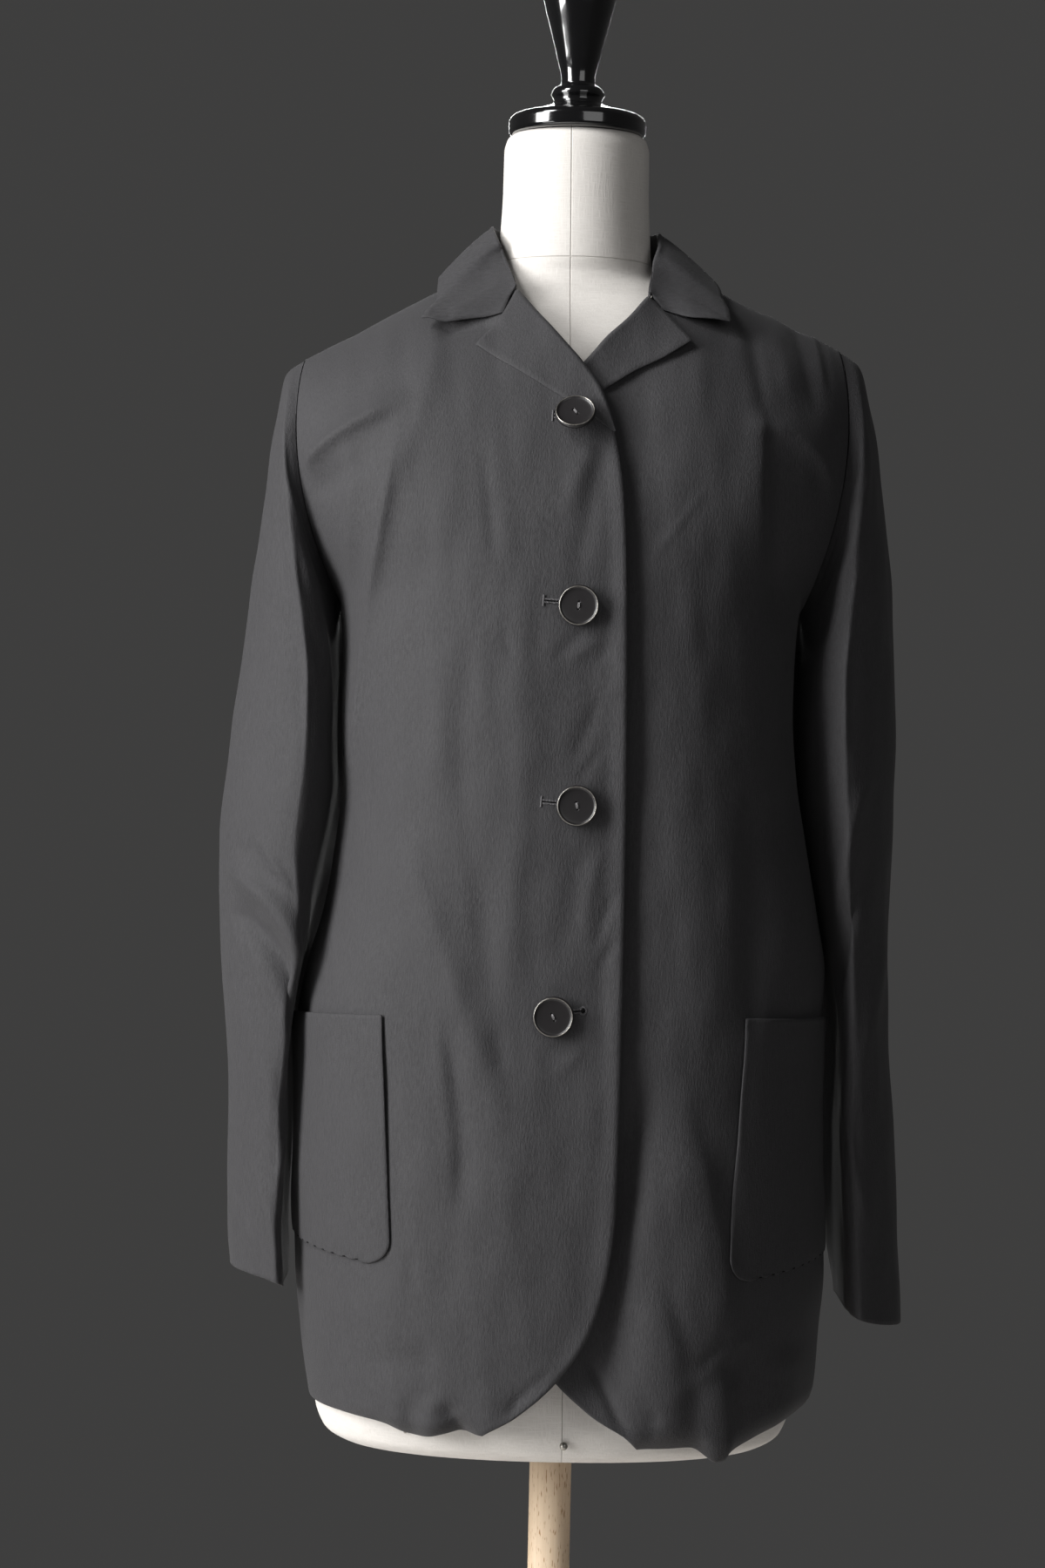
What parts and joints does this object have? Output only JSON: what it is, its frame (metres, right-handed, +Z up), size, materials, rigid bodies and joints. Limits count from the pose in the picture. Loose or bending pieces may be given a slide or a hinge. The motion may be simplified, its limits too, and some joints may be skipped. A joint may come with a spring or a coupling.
{
  "type": "women's single-breasted blazer on a limbless dress form",
  "caption": "Women's single-breasted blazer of thin crepe with a notched collar and patch pockets, buttoned on a linen dress form with a pole and round base.",
  "frame": {"origin": "middle of the underside of the stand's base, on the floor", "axes": "+Z up, -Y is the front of the blazer, +X towards the wearer's left"},
  "size_m": [0.459, 0.37, 1.63],
  "materials": {
    "crepe": "matt satin-backed crepe with a fine upright crinkle",
    "button": "dished, polished, with a thin bright rim",
    "linen": "plain warm white linen, stretched smooth",
    "lacquer": "turned wood in high-gloss black lacquer",
    "beech": "turned pale beech, waxed"
  },
  "bodies": {
    "root": {"front_right": "crepe", "front_left": "crepe", "back": "crepe", "sleeve_right": "crepe", "sleeve_left": "crepe", "collar": "crepe", "lapel_right": "crepe", "lapel_left": "crepe", "pocket_right": "crepe", "pocket_left": "crepe", "button_1": "button", "button_2": "button", "button_3": "button", "button_4": "button", "form": "linen", "neck_cap": "lacquer", "pole": "beech", "base": "beech"}
  },
  "joints": []
}
